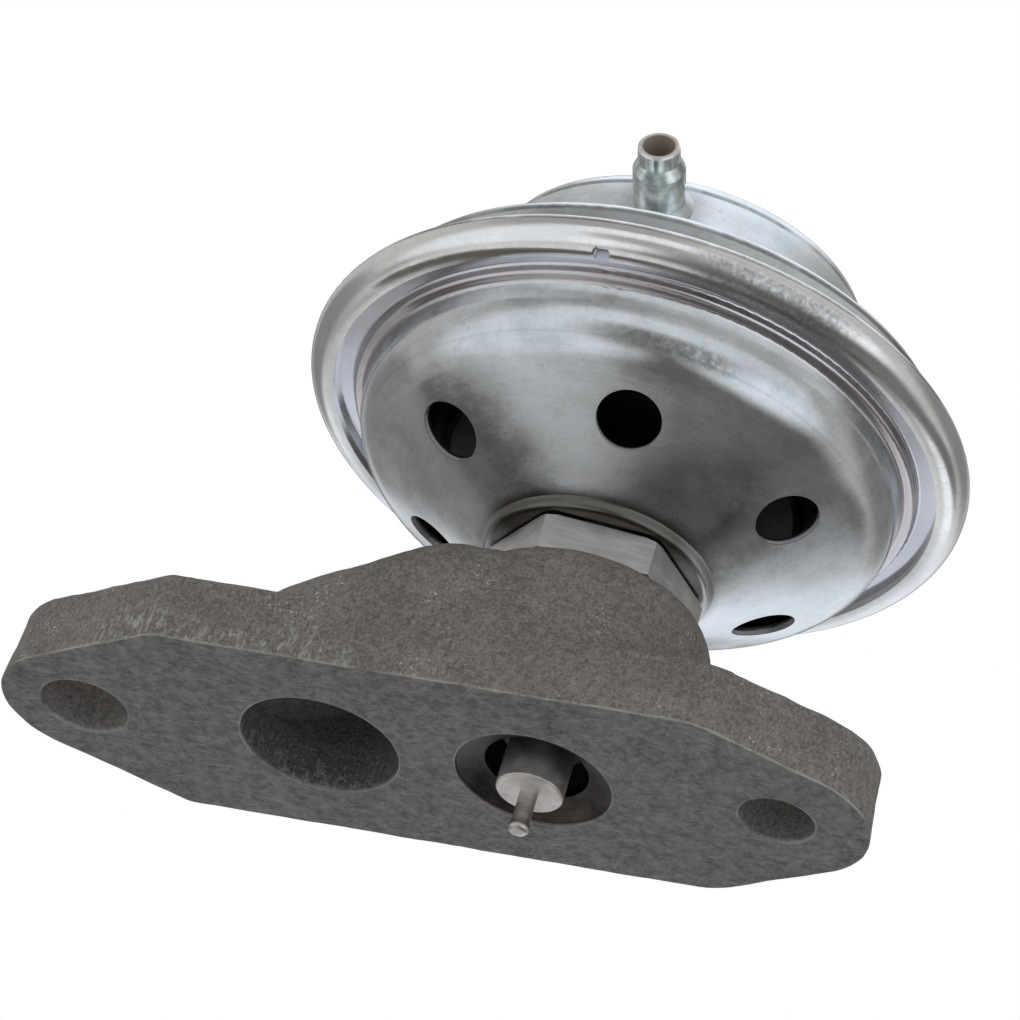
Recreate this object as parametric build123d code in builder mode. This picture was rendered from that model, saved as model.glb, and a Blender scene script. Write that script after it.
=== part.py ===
# Vacuum operated exhaust gas recirculation valve, in millimetres.
# The frame stands at the middle of the machined mounting face, half way between the two
# bolt holes. +X runs from the large bolt hole to the small one, +Z runs up along the stem.
import os
from math import acos, atan, atan2, cos, hypot, pi, radians, sin, tan

from build123d import *

os.makedirs("parts", exist_ok=True)

# Mounting flange, cast iron
bolt_spacing = 81.0
large_bolt_radius = 5.2
small_bolt_radius = 4.4
flange_thickness = 9.4
flange_half_width = 17.15
large_nose_radius = 9.8
small_nose_radius = 10.6
large_end_straight = 0.75
small_end_straight = 2.35
sharp_shoulder_radius = 2.5
round_shoulder_radius = 9.0
casting_draft = 4
flange_edge_radius = 1.4

# Ports in the mounting face
port_spacing = 25.0
inlet_radius = 9.3
outlet_radius = 9.07

# Hump over the passage, and the boss under the hexagon
roof_angle = 31.7
roof_foot = 9.4
boss_height = 23.1
roof_step = 1.5
roof_bend_radius = 12.0
roof_edge_radius = 5.0
boss_edge_radius = 4.8
boss_foot_spread = 2.2
boss_foot_shift = 4.0
boss_foot_radius = 3.0

# Passage inside the casting, as its sand core leaves it
casting_wall = 4.0
inlet_depth = 4.5
inlet_ledge = 0.4
passage_width = 13.0
passage_floor = 8.6
chamber_radius = 10.0
chamber_height = 17.5

# Valve seat, pressed into the outlet port
seat_hole_radius = 6.05
seat_recess = 0.3
seat_height = 7.5
seat_mouth_depth = 1.4
seat_mouth_land = 0.15
seat_width = 1.2
seat_gap = 0.05

# Adapter between the casting and the can
hex_across_flats = 22.35
hex_height = 4.75
hex_turn = 10.4
hex_corner_cut = 0.6
spigot_radius = 9.5
neck_radius = 8.0
stake_radius = 9.3
stake_height = 1.0
gasket_radius = 11.1
gasket_thickness = 0.3
press_clearance = 0.02

# Stem and what guides it
stem_radius = 3.0
running_clearance = 0.05
bushing_radius = 5.0
seal_pocket_radius = 6.6
seal_pocket_depth = 3.0
retainer_thickness = 0.6
retainer_hole_clearance = 0.4
retainer_depth = 0.6

# Pintle on the stem's lower end
pintle_radius = 3.9
pintle_reach = 1.8
pintle_head_radius = 7.8
pintle_head_edge = 0.9
pintle_head_cap = 1.2
pintle_end_chamfer = 0.25
stem_socket_depth = 4.0
pin_radius = 1.05
pin_reach = 5.2
pin_socket_depth = 3.0
pin_tip_radius = 1.25
pin_tip_length = 1.4

# Lower shell, pressed steel
lower_sheet = 1.0
hub_radius = 13.4
hub_step = 1.3
hub_lean = 0.3
hub_edge_radius = 0.9
cone_height = 10.37
wall_inset = 7.7
wall_bend_radius = 7.5
wall_lean = 0.5
bead_drop = 1.3
bead_width = 1.4
bead_radius = 0.5
flange_bend_radius = 1.5
vent_count = 6
vent_radius = 3.76
vent_inset = 8.7
vent_turn = -79.0

# Upper shell, pressed steel, crimped round the lower one
upper_sheet = 1.0
rim_radius = 39.3
lip_width = 3.3
lip_rise = 18.05
crimp_height = 4.0
crimp_roll_radius = 2.7
crimp_top_radius = 1.2
crimp_grip = 0.8
shoulder_inset = 4.4
shoulder_height = 5.4
shoulder_edge_radius = 1.5
shoulder_foot_fillet = 0.8
shoulder_rise = 0.8
cup_inset = 12.85
cup_wall_angle = 12
cup_height = 19.9
cup_edge_radius = 2.0
cup_foot_fillet = 3.0
notch_radius = 1.05
notch_turn = -90.6
notch_depth = 1.1
notch_mouth_width = 1.6

# Vacuum nipple, square to the cup wall
nipple_turn = -88.4
nipple_drop = 5.5
nipple_radius = 3.05
nipple_root_radius = 2.6
nipple_tip_radius = 2.45
nipple_bore_radius = 1.85
nipple_length = 8.8
nipple_inside = 1.6
nipple_tip_length = 2.0
nipple_bevel_length = 1.3
nipple_edge_chamfer = 0.2
braze_width = 0.9
braze_sink = 0.6

# Diaphragm, plates and spring
rubber_thickness = 0.8
diaphragm_drop = 6.6
diaphragm_bead_width = 2.6
diaphragm_edge_clearance = 0.3
diaphragm_slope_width = 7.6
diaphragm_bend_radius = 1.6
plate_sheet = 1.0
plate_inset = 10.1
plate_rim = 2.2
plate_bend_radius = 1.6
stem_end_radius = 2.4
collar_radius = 4.4
collar_height = 2.0
washer_radius = 5.4
washer_thickness = 0.8
rivet_radius = 4.0
rivet_height = 1.4
rivet_edge_radius = 1.1
spring_inset = 6.55
spring_wire_radius = 1.1
spring_turns = 4.5
spring_gap = 0.1
spring_seat_sheet = 0.8
spring_seat_clearance = 0.5
spring_seat_rim = 2.0

# Places that follow from the sizes above
stem_x = port_spacing / 2
inlet_x = -port_spacing / 2
bolt_x = bolt_spacing / 2
passage_roof_height = boss_height - roof_step
core_roof = passage_roof_height - casting_wall
hex_top = boss_height + hex_height
shell_base = hex_top + gasket_thickness
shell_floor = shell_base + lower_sheet
stake_top = shell_floor + stake_height
seal_base = stake_top - seal_pocket_depth
seal_top = stake_top - retainer_depth - retainer_thickness
lip_height = shell_base + lip_rise
flange_underside = lip_height + upper_sheet
flange_topside = flange_underside + lower_sheet
crimp_top = lip_height + crimp_height
clamp_top = crimp_top - upper_sheet
cup_top = crimp_top + cup_height
cup_ceiling = cup_top - upper_sheet
shoulder_top = crimp_top + shoulder_height
diaphragm_base = flange_topside - diaphragm_drop
diaphragm_top = diaphragm_base + rubber_thickness
lower_plate_base = diaphragm_base - plate_sheet
collar_top = lower_plate_base - washer_thickness
collar_base = collar_top - collar_height
upper_plate_floor = diaphragm_top + plate_sheet
rivet_base = upper_plate_floor + washer_thickness
spring_top = cup_ceiling - spring_seat_sheet

lip_radius = rim_radius - lip_width
wall_radius = rim_radius - wall_inset
shoulder_radius = rim_radius - shoulder_inset
cup_radius = shoulder_radius - cup_inset
vent_circle_radius = wall_radius - vent_inset
plate_radius = wall_radius - plate_inset
spring_radius = cup_radius - spring_inset

stem_plane = Plane(origin=(stem_x, 0, 0), x_dir=(1, 0, 0), z_dir=(0, -1, 0))
stem_axis = Axis((stem_x, 0, 0), (0, 0, 1))


def outline(*corners, plane=stem_plane):
    """A closed face from corners of (across, up, corner radius)."""
    with BuildSketch(plane) as face:
        with BuildLine():
            FilletPolyline(*[c[:2] for c in corners], radius=[c[2] for c in corners], close=True)
        make_face()
    return face.sketch


def tube_outline(inner, outer, bottom, top):
    """The section of a plain ring round the stem."""
    return outline((inner, bottom, 0), (outer, bottom, 0), (outer, top, 0), (inner, top, 0))


def nose_tip(straight_end, nose_radius):
    """How far out the two tapers meet that leave the straight sides and touch a bolt's nose."""
    run = bolt_x - straight_end
    taper = acos(nose_radius / hypot(run, flange_half_width)) - atan2(run, flange_half_width)
    return bolt_x + nose_radius / sin(taper)


def roof_plane(drop):
    """The plane of the hump's sloping roof, moved inwards by drop; it faces up and out."""
    lean = radians(roof_angle)
    roof = Plane(
        origin=(inlet_x - roof_foot, 0, flange_thickness),
        x_dir=(0, 1, 0),
        z_dir=(-sin(lean), 0, cos(lean)),
    )
    return roof.offset(-drop)


# Hump over the passage: a drafted oval cut by a level and a sloping roof, its edges rounded
draft_slope = tan(radians(casting_draft))
with BuildPart() as hump:
    with BuildSketch():
        SlotCenterToCenter(port_spacing, 2 * flange_half_width)
    extrude(amount=passage_roof_height, taper=casting_draft)
    split(bisect_by=roof_plane(0), keep=Keep.BOTTOM)
    fillet(edges().filter_by(Axis.Y).sort_by(Axis.Z)[-1], radius=roof_bend_radius)
    roofs = faces().filter_by(lambda face: face.normal_at().Z > 0.5)
    fillet(roofs.edges().filter_by(Axis.Y, reverse=True), radius=roof_edge_radius)

# Sand core of the passage: it follows the roof from the inlet port to the valve chamber
with BuildPart() as passage_core:
    with BuildSketch():
        with Locations((inlet_x, 0)):
            Circle(inlet_radius - inlet_ledge)
    extrude(amount=core_roof)
    with BuildSketch(Plane.XZ):
        with Locations((0, (passage_floor + core_roof) / 2)):
            Rectangle(port_spacing, core_roof - passage_floor)
    extrude(amount=passage_width / 2, both=True)
    split(bisect_by=roof_plane(casting_wall), keep=Keep.BOTTOM)
    with BuildSketch(Plane.XY.offset(passage_floor)):
        with Locations((stem_x, 0)):
            Circle(chamber_radius)
    extrude(amount=chamber_height - passage_floor)

# Flange outline: round noses at the bolts and tapers that leave the straight sides
large_end = -inlet_x + flange_half_width + large_end_straight
small_end = stem_x + flange_half_width + small_end_straight
flange_outline = outline(
    (nose_tip(small_end, small_nose_radius), 0, small_nose_radius),
    (small_end, flange_half_width, round_shoulder_radius),
    (-large_end, flange_half_width, sharp_shoulder_radius),
    (-nose_tip(large_end, large_nose_radius), 0, large_nose_radius),
    (-large_end, -flange_half_width, sharp_shoulder_radius),
    (small_end, -flange_half_width, round_shoulder_radius),
    plane=Plane.XY,
)

# Foot that spreads the boss on to the flange, furthest towards the small bolt
foot_x = stem_x + boss_foot_shift
foot_reach = flange_half_width - flange_thickness * draft_slope + boss_foot_spread - boss_foot_shift
foot_top = flange_thickness + boss_foot_radius
with BuildPart() as boss_foot:
    revolve(
        outline(
            (0, 0, 0),
            (foot_reach + press_clearance, 0, 0),
            (foot_reach + press_clearance, flange_thickness, 0),
            (foot_reach - boss_foot_radius, flange_thickness, boss_foot_radius),
            (foot_reach - boss_foot_radius, foot_top + press_clearance, 0),
            (0, foot_top + press_clearance, 0),
            plane=Plane(origin=(foot_x, 0, 0), x_dir=(1, 0, 0), z_dir=(0, -1, 0)),
        ),
        axis=Axis((foot_x, 0, 0), (0, 0, 1)),
    )

# Casting: the flange, the hump and the round boss in one piece, with all its holes
with BuildPart() as base_casting:
    extrude(flange_outline, amount=flange_thickness, taper=casting_draft)
    fillet(faces().sort_by(Axis.Z)[-1].edges(), radius=flange_edge_radius)
    add(hump.part)
    add(boss_foot.part)
    revolve(
        outline(
            (0, 0, 0),
            (flange_half_width, 0, 0),
            (flange_half_width - boss_height * draft_slope, boss_height, boss_edge_radius),
            (0, boss_height, 0),
        ),
        axis=stem_axis,
    )
    add(passage_core.part, mode=Mode.SUBTRACT)
    with BuildSketch():
        with Locations((-bolt_x, 0)):
            Circle(large_bolt_radius)
        with Locations((bolt_x, 0)):
            Circle(small_bolt_radius)
        with Locations((stem_x, 0)):
            Circle(outlet_radius)
    extrude(amount=flange_thickness, mode=Mode.SUBTRACT)
    with BuildSketch():
        with Locations((inlet_x, 0)):
            Circle(inlet_radius)
    extrude(amount=inlet_depth, mode=Mode.SUBTRACT)
    with BuildSketch(Plane.XY.offset(chamber_height)):
        with Locations((stem_x, 0)):
            Circle(spigot_radius)
    extrude(amount=boss_height - chamber_height, mode=Mode.SUBTRACT)

# Seat ring: coned mouth below, straight hole, narrow seat on its upper edge
seat_foot = seat_height - seat_width
with BuildPart() as seat_ring:
    revolve(
        outline(
            (outlet_radius - seat_mouth_land, seat_recess, 0),
            (outlet_radius, seat_recess, 0),
            (outlet_radius, seat_height, 0),
            (seat_hole_radius + seat_width, seat_height, 0),
            (seat_hole_radius, seat_foot, 0),
            (seat_hole_radius, seat_recess + seat_mouth_depth, 0),
        ),
        axis=stem_axis,
    )

# Adapter: hexagon, spigot into the boss, neck staked over inside the can
hex_corner_radius = hex_across_flats / 2 / cos(pi / 6)
with BuildPart() as hex_adapter:
    with BuildSketch(Plane.XY.offset(boss_height)):
        with Locations((stem_x, 0)):
            RegularPolygon(hex_across_flats / 2, 6, major_radius=False, rotation=hex_turn)
    extrude(amount=hex_height)
    revolve(
        outline(
            (0, boss_height, 0),
            (hex_corner_radius, boss_height, 0),
            (hex_corner_radius, hex_top - hex_corner_cut / 2, 0),
            (hex_corner_radius - hex_corner_cut, hex_top, 0),
            (0, hex_top, 0),
        ),
        axis=stem_axis,
        mode=Mode.INTERSECT,
    )
    revolve(
        outline(
            (0, chamber_height, 0),
            (spigot_radius - press_clearance, chamber_height, 0),
            (spigot_radius - press_clearance, boss_height, 0),
            (neck_radius, boss_height, 0),
            (neck_radius, shell_floor, 0),
            (stake_radius, shell_floor, 0),
            (stake_radius, stake_top, stake_height / 2),
            (0, stake_top, 0),
        ),
        axis=stem_axis,
    )
    bushing_hole = tube_outline(0, bushing_radius, chamber_height, stake_top)
    revolve(bushing_hole, axis=stem_axis, mode=Mode.SUBTRACT)
    seal_pocket = tube_outline(0, seal_pocket_radius, seal_base, stake_top)
    revolve(seal_pocket, axis=stem_axis, mode=Mode.SUBTRACT)

# Gasket between the hexagon and the can
with BuildPart() as shell_gasket:
    revolve(
        tube_outline(neck_radius + press_clearance, gasket_radius, hex_top, shell_base),
        axis=stem_axis,
    )

# Bushing, packing and the cap that holds the packing down
guide_radius = stem_radius + running_clearance
with BuildPart() as stem_bushing:
    revolve(
        tube_outline(guide_radius, bushing_radius - press_clearance, chamber_height, seal_base),
        axis=stem_axis,
    )
with BuildPart() as stem_seal:
    revolve(
        tube_outline(guide_radius, seal_pocket_radius - press_clearance, seal_base, seal_top),
        axis=stem_axis,
    )
with BuildPart() as seal_retainer:
    retainer_hole = stem_radius + retainer_hole_clearance
    retainer_outer = seal_pocket_radius - press_clearance
    revolve(
        outline(
            (retainer_hole, seal_top, 0),
            (retainer_outer, seal_top, 0),
            (retainer_outer, stake_top, 0),
            (retainer_outer - retainer_thickness, stake_top, 0),
            (retainer_outer - retainer_thickness, seal_top + retainer_thickness, 0),
            (retainer_hole, seal_top + retainer_thickness, 0),
        ),
        axis=stem_axis,
    )

# Lower shell: flat hub, short step, vented cone, wall, bead and clamping flange
cone_foot = (hub_radius + hub_lean, shell_base + hub_step)
cone_slope = cone_height / (wall_radius - cone_foot[0])
cone_angle = atan(cone_slope)
cone_lift = lower_sheet / cos(cone_angle)
bead_base = flange_underside - bead_drop
wall_top_radius = wall_radius + wall_lean
flange_radius = rim_radius - crimp_roll_radius + crimp_grip
with BuildPart() as lower_shell:
    revolve(
        outline(
            (neck_radius + press_clearance, shell_base, 0),
            (hub_radius, shell_base, hub_edge_radius),
            (cone_foot[0], cone_foot[1], hub_edge_radius / 2),
            (wall_radius, cone_foot[1] + cone_height, wall_bend_radius),
            (wall_top_radius, bead_base, bead_radius),
            (wall_top_radius + bead_width, bead_base, bead_radius),
            (wall_top_radius + bead_width, flange_underside, bead_radius),
            (flange_radius, flange_underside, crimp_grip),
            (flange_radius, flange_topside, 0),
            (wall_top_radius - lower_sheet, flange_topside, flange_bend_radius),
            (
                wall_radius - lower_sheet,
                cone_foot[1] + cone_height + cone_lift - lower_sheet * cone_slope,
                wall_bend_radius - lower_sheet,
            ),
            (
                cone_foot[0] - lower_sheet,
                cone_foot[1] + cone_lift - lower_sheet * cone_slope,
                hub_edge_radius,
            ),
            (hub_radius - lower_sheet, shell_floor, hub_edge_radius / 2),
            (neck_radius + press_clearance, shell_floor, 0),
        ),
        axis=stem_axis,
    )
    vent_rise = (vent_circle_radius - cone_foot[0]) * cone_slope
    vent_planes = []
    for turn in range(vent_count):
        bearing = radians(vent_turn + turn * 360 / vent_count)
        vent_planes.append(
            Plane(
                origin=(
                    stem_x + vent_circle_radius * cos(bearing),
                    vent_circle_radius * sin(bearing),
                    cone_foot[1] + vent_rise,
                ),
                z_dir=(
                    sin(cone_angle) * cos(bearing),
                    sin(cone_angle) * sin(bearing),
                    -cos(cone_angle),
                ),
            )
        )
    with Locations(*vent_planes):
        Cylinder(vent_radius, 4 * lower_sheet, mode=Mode.SUBTRACT)

# Upper shell: crimped rim, shoulder and cup in one pressing
cup_foot_radius = cup_radius + (cup_top - shoulder_top - shoulder_rise) * tan(radians(cup_wall_angle))
nipple_bearing = radians(nipple_turn)
nipple_lean = radians(cup_wall_angle)
nipple_reach = cup_radius + nipple_drop * tan(nipple_lean)
nipple_direction = Vector(
    cos(nipple_lean) * cos(nipple_bearing),
    cos(nipple_lean) * sin(nipple_bearing),
    sin(nipple_lean),
)
nipple_root = Vector(
    stem_x + nipple_reach * cos(nipple_bearing),
    nipple_reach * sin(nipple_bearing),
    cup_top - nipple_drop,
)
nipple_plane = Plane(origin=nipple_root, z_dir=nipple_direction)
nipple_section = Plane(origin=nipple_root, x_dir=nipple_plane.x_dir, z_dir=-nipple_plane.y_dir)
with BuildPart() as upper_shell:
    with BuildSketch(stem_plane) as shell_section:
        with BuildLine():
            shell_line = FilletPolyline(
                (lip_radius, lip_height),
                (rim_radius, lip_height),
                (rim_radius, crimp_top),
                (shoulder_radius, crimp_top),
                (shoulder_radius, shoulder_top),
                (cup_foot_radius, shoulder_top + shoulder_rise),
                (cup_radius, cup_top),
                (0, cup_top),
                radius=[
                    crimp_roll_radius,
                    crimp_top_radius,
                    shoulder_foot_fillet,
                    shoulder_edge_radius,
                    cup_foot_fillet,
                    cup_edge_radius,
                ],
            )
            offset(shell_line, amount=upper_sheet, side=Side.LEFT, kind=Kind.INTERSECTION)
        make_face()
    revolve(axis=stem_axis)
    notch_bearing = radians(notch_turn)
    notch_way = Vector(cos(notch_bearing), sin(notch_bearing))
    with BuildSketch(Plane.XY.offset(lip_height)):
        with Locations(Vector(stem_x, 0) + notch_way * (lip_radius + notch_depth)):
            Circle(notch_radius)
        with Locations(Vector(stem_x, 0) + notch_way * lip_radius):
            Rectangle(2 * notch_depth, notch_mouth_width, rotation=notch_turn)
    extrude(amount=crimp_roll_radius, mode=Mode.SUBTRACT)
    with Locations(nipple_plane):
        Cylinder(nipple_root_radius + press_clearance, 4 * upper_sheet, mode=Mode.SUBTRACT)

# Vacuum nipple: spigot in the wall, body, bevel and thinner tip, bored through
with BuildPart() as vacuum_nipple:
    tip_start = nipple_length - nipple_tip_length
    with BuildSketch(nipple_section):
        with BuildLine():
            Polyline(
                (nipple_bore_radius, -nipple_inside),
                (nipple_root_radius, -nipple_inside),
                (nipple_root_radius, braze_width),
                (nipple_radius, braze_width),
                (nipple_radius, tip_start - nipple_bevel_length),
                (nipple_tip_radius, tip_start),
                (nipple_tip_radius, nipple_length - nipple_edge_chamfer),
                (nipple_tip_radius - nipple_edge_chamfer, nipple_length),
                (nipple_bore_radius, nipple_length),
                close=True,
            )
        make_face()
    revolve(axis=Axis(nipple_root, nipple_direction))

# Braze ring round the nipple's spigot, shaped to the cup wall
with BuildPart() as nipple_braze:
    with BuildSketch(nipple_section):
        with BuildLine():
            Polyline(
                (nipple_root_radius, -braze_sink),
                (nipple_radius + braze_width, -braze_sink),
                (nipple_radius + braze_width, 0),
                (nipple_radius, braze_width),
                (nipple_root_radius, braze_width),
                close=True,
            )
        make_face()
    revolve(axis=Axis(nipple_root, nipple_direction))
    add(upper_shell.part, mode=Mode.SUBTRACT)

# Diaphragm: clamped bead, sloping web and flat middle
with BuildPart() as diaphragm:
    bead_outer = rim_radius - crimp_roll_radius + crimp_grip + diaphragm_edge_clearance
    bead_inner = bead_outer - diaphragm_bead_width
    web_inner = plate_radius + diaphragm_bend_radius
    web_outer = web_inner + diaphragm_slope_width
    web_height = (flange_topside + clamp_top + rubber_thickness) / 2
    stem_hole = stem_end_radius + press_clearance
    revolve(
        outline(
            (stem_hole, diaphragm_base, 0),
            (web_inner, diaphragm_base, diaphragm_bend_radius),
            (web_outer, web_height - rubber_thickness, diaphragm_bend_radius),
            (bead_inner, web_height - rubber_thickness, 0),
            (bead_inner, flange_topside, 0),
            (bead_outer, flange_topside, 0),
            (bead_outer, clamp_top, 0),
            (bead_inner, clamp_top, 0),
            (bead_inner, web_height, 0),
            (web_outer, web_height, diaphragm_bend_radius),
            (web_inner, diaphragm_top, diaphragm_bend_radius),
            (stem_hole, diaphragm_top, 0),
        ),
        axis=stem_axis,
    )

# Dished plates under and over the diaphragm, with the washers that spread the clamping
with BuildPart() as lower_plate:
    revolve(
        outline(
            (stem_hole, lower_plate_base, 0),
            (plate_radius - plate_rim / 2, lower_plate_base, 0),
            (plate_radius, lower_plate_base - plate_rim / 2, 0),
            (plate_radius, lower_plate_base - plate_rim / 2 + plate_sheet, 0),
            (plate_radius - plate_rim / 2, diaphragm_base, 0),
            (stem_hole, diaphragm_base, 0),
        ),
        axis=stem_axis,
    )
with BuildPart() as upper_plate:
    revolve(
        outline(
            (stem_hole, diaphragm_top, 0),
            (plate_radius, diaphragm_top, plate_bend_radius),
            (plate_radius, upper_plate_floor + plate_rim, 0),
            (plate_radius - plate_sheet, upper_plate_floor + plate_rim, 0),
            (plate_radius - plate_sheet, upper_plate_floor, plate_bend_radius - plate_sheet),
            (stem_hole, upper_plate_floor, 0),
        ),
        axis=stem_axis,
    )
with BuildPart() as collar_washer:
    revolve(tube_outline(stem_hole, washer_radius, collar_top, lower_plate_base), axis=stem_axis)
with BuildPart() as rivet_washer:
    revolve(tube_outline(stem_hole, washer_radius, upper_plate_floor, rivet_base), axis=stem_axis)

# Pintle: blunt lower end, seat cone, round head with the stem's socket
with BuildPart() as pintle:
    cone_back = seat_hole_radius - seat_foot - seat_gap / sin(pi / 4)
    head_edge = pintle_head_radius - cone_back
    head_top = head_edge + pintle_head_edge + pintle_head_cap
    revolve(
        outline(
            (0, -pintle_reach, 0),
            (pintle_radius, -pintle_reach, pintle_end_chamfer),
            (pintle_radius, pintle_radius - cone_back, 0),
            (pintle_head_radius, head_edge, 0),
            (pintle_head_radius, head_edge + pintle_head_edge, 0),
            (stem_radius + pintle_head_cap, head_top, 0),
            (0, head_top, 0),
        ),
        axis=stem_axis,
    )
    revolve(
        tube_outline(0, stem_radius, head_top - stem_socket_depth, head_top),
        axis=stem_axis,
        mode=Mode.SUBTRACT,
    )
    revolve(
        tube_outline(0, pin_radius, -pintle_reach, pin_socket_depth - pintle_reach),
        axis=stem_axis,
        mode=Mode.SUBTRACT,
    )

# Pin in the pintle's end, swollen at its tip
with BuildPart() as pintle_pin:
    pin_end = -pintle_reach - pin_reach
    revolve(
        outline(
            (0, pin_end, 0),
            (pin_tip_radius, pin_end, pin_tip_radius / 2),
            (pin_tip_radius, pin_end + pin_tip_length / 2, 0),
            (pin_radius, pin_end + pin_tip_length, 0),
            (pin_radius, pin_socket_depth - pintle_reach, 0),
            (0, pin_socket_depth - pintle_reach, 0),
        ),
        axis=stem_axis,
    )

# Stem: shaft, collar under the plates, thin end riveted over the top washer
with BuildPart() as stem:
    revolve(
        outline(
            (0, head_top - stem_socket_depth, 0),
            (stem_radius, head_top - stem_socket_depth, 0),
            (stem_radius, collar_base, 0),
            (collar_radius, collar_base, 0),
            (collar_radius, collar_top, 0),
            (stem_end_radius, collar_top, 0),
            (stem_end_radius, rivet_base, 0),
            (rivet_radius, rivet_base, 0),
            (rivet_radius, rivet_base + rivet_height, rivet_edge_radius),
            (0, rivet_base + rivet_height, 0),
        ),
        axis=stem_axis,
    )

# Cup that centres the spring under the can's top
with BuildPart() as spring_seat:
    seat_rim_radius = spring_radius + spring_wire_radius + spring_seat_clearance
    revolve(
        outline(
            (0, spring_top, 0),
            (seat_rim_radius, spring_top, 0),
            (seat_rim_radius, cup_ceiling - spring_seat_rim, 0),
            (seat_rim_radius + spring_seat_sheet, cup_ceiling - spring_seat_rim, 0),
            (seat_rim_radius + spring_seat_sheet, cup_ceiling, spring_seat_sheet / 2),
            (0, cup_ceiling, 0),
        ),
        axis=stem_axis,
    )

# Return spring between the upper plate and its seat
with BuildPart() as return_spring:
    coil_bottom = upper_plate_floor + spring_wire_radius + spring_gap
    coil_height = spring_top - spring_wire_radius - spring_gap - coil_bottom
    with BuildLine() as coil:
        Helix(
            pitch=coil_height / spring_turns,
            height=coil_height,
            radius=spring_radius,
            center=(stem_x, 0, coil_bottom),
        )
    with BuildSketch(Plane(origin=coil.line @ 0, z_dir=coil.line % 0)):
        Circle(spring_wire_radius)
    sweep(path=coil.line)

for piece, name in (
    (base_casting, "base_casting"),
    (seat_ring, "seat_ring"),
    (hex_adapter, "hex_adapter"),
    (shell_gasket, "shell_gasket"),
    (stem_bushing, "stem_bushing"),
    (stem_seal, "stem_seal"),
    (seal_retainer, "seal_retainer"),
    (lower_shell, "lower_shell"),
    (upper_shell, "upper_shell"),
    (vacuum_nipple, "vacuum_nipple"),
    (nipple_braze, "nipple_braze"),
    (diaphragm, "diaphragm"),
    (lower_plate, "lower_plate"),
    (upper_plate, "upper_plate"),
    (collar_washer, "collar_washer"),
    (rivet_washer, "rivet_washer"),
    (pintle, "pintle"),
    (pintle_pin, "pintle_pin"),
    (stem, "stem"),
    (spring_seat, "spring_seat"),
    (return_spring, "return_spring"),
):
    piece.part.label = name
    export_step(piece.part, f"parts/{name}.step")
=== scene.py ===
from collections import Counter
from math import cos, radians, sin

import bpy
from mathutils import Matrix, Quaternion, Vector


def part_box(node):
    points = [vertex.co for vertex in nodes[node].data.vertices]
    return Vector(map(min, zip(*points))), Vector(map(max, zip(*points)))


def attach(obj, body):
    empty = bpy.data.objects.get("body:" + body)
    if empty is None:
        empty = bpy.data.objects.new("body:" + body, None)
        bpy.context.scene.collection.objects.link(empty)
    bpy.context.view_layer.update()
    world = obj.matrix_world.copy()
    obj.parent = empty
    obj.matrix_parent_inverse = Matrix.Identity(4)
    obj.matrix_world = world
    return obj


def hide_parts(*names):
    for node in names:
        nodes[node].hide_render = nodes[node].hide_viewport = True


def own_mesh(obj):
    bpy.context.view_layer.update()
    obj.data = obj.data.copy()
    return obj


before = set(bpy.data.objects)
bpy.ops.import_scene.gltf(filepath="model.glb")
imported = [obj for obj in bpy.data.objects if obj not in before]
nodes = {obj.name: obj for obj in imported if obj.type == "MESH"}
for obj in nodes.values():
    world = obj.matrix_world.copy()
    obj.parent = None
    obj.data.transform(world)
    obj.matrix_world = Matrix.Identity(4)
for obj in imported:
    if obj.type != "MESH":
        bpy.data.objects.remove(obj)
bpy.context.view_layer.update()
scene = bpy.context.scene

# The photograph's camera: it stands low in front of the valve, a little to the right, and
# looks up at the mounting face through a long lens, tilted clockwise.
camera_place = Vector((0.15717, -0.56146, -0.33880))
camera_aim = Vector((0.00548, -0.01757, 0.02371))
camera_roll = 17.396
sensor_width = 36
focal_length = 211.76
nearest_seen, farthest_seen = 0.02, 60

camera = bpy.data.objects.new("camera", bpy.data.cameras.new("camera"))
scene.collection.objects.link(camera)
scene.camera = camera
camera.data.sensor_width = sensor_width
camera.data.lens = focal_length
camera.data.clip_start = nearest_seen
camera.data.clip_end = farthest_seen
camera.location = camera_place
camera.rotation_mode = "QUATERNION"
level_look = (camera_aim - camera_place).to_track_quat("-Z", "Y")
camera.rotation_quaternion = level_look @ Quaternion((0, 0, 1), radians(camera_roll))


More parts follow.
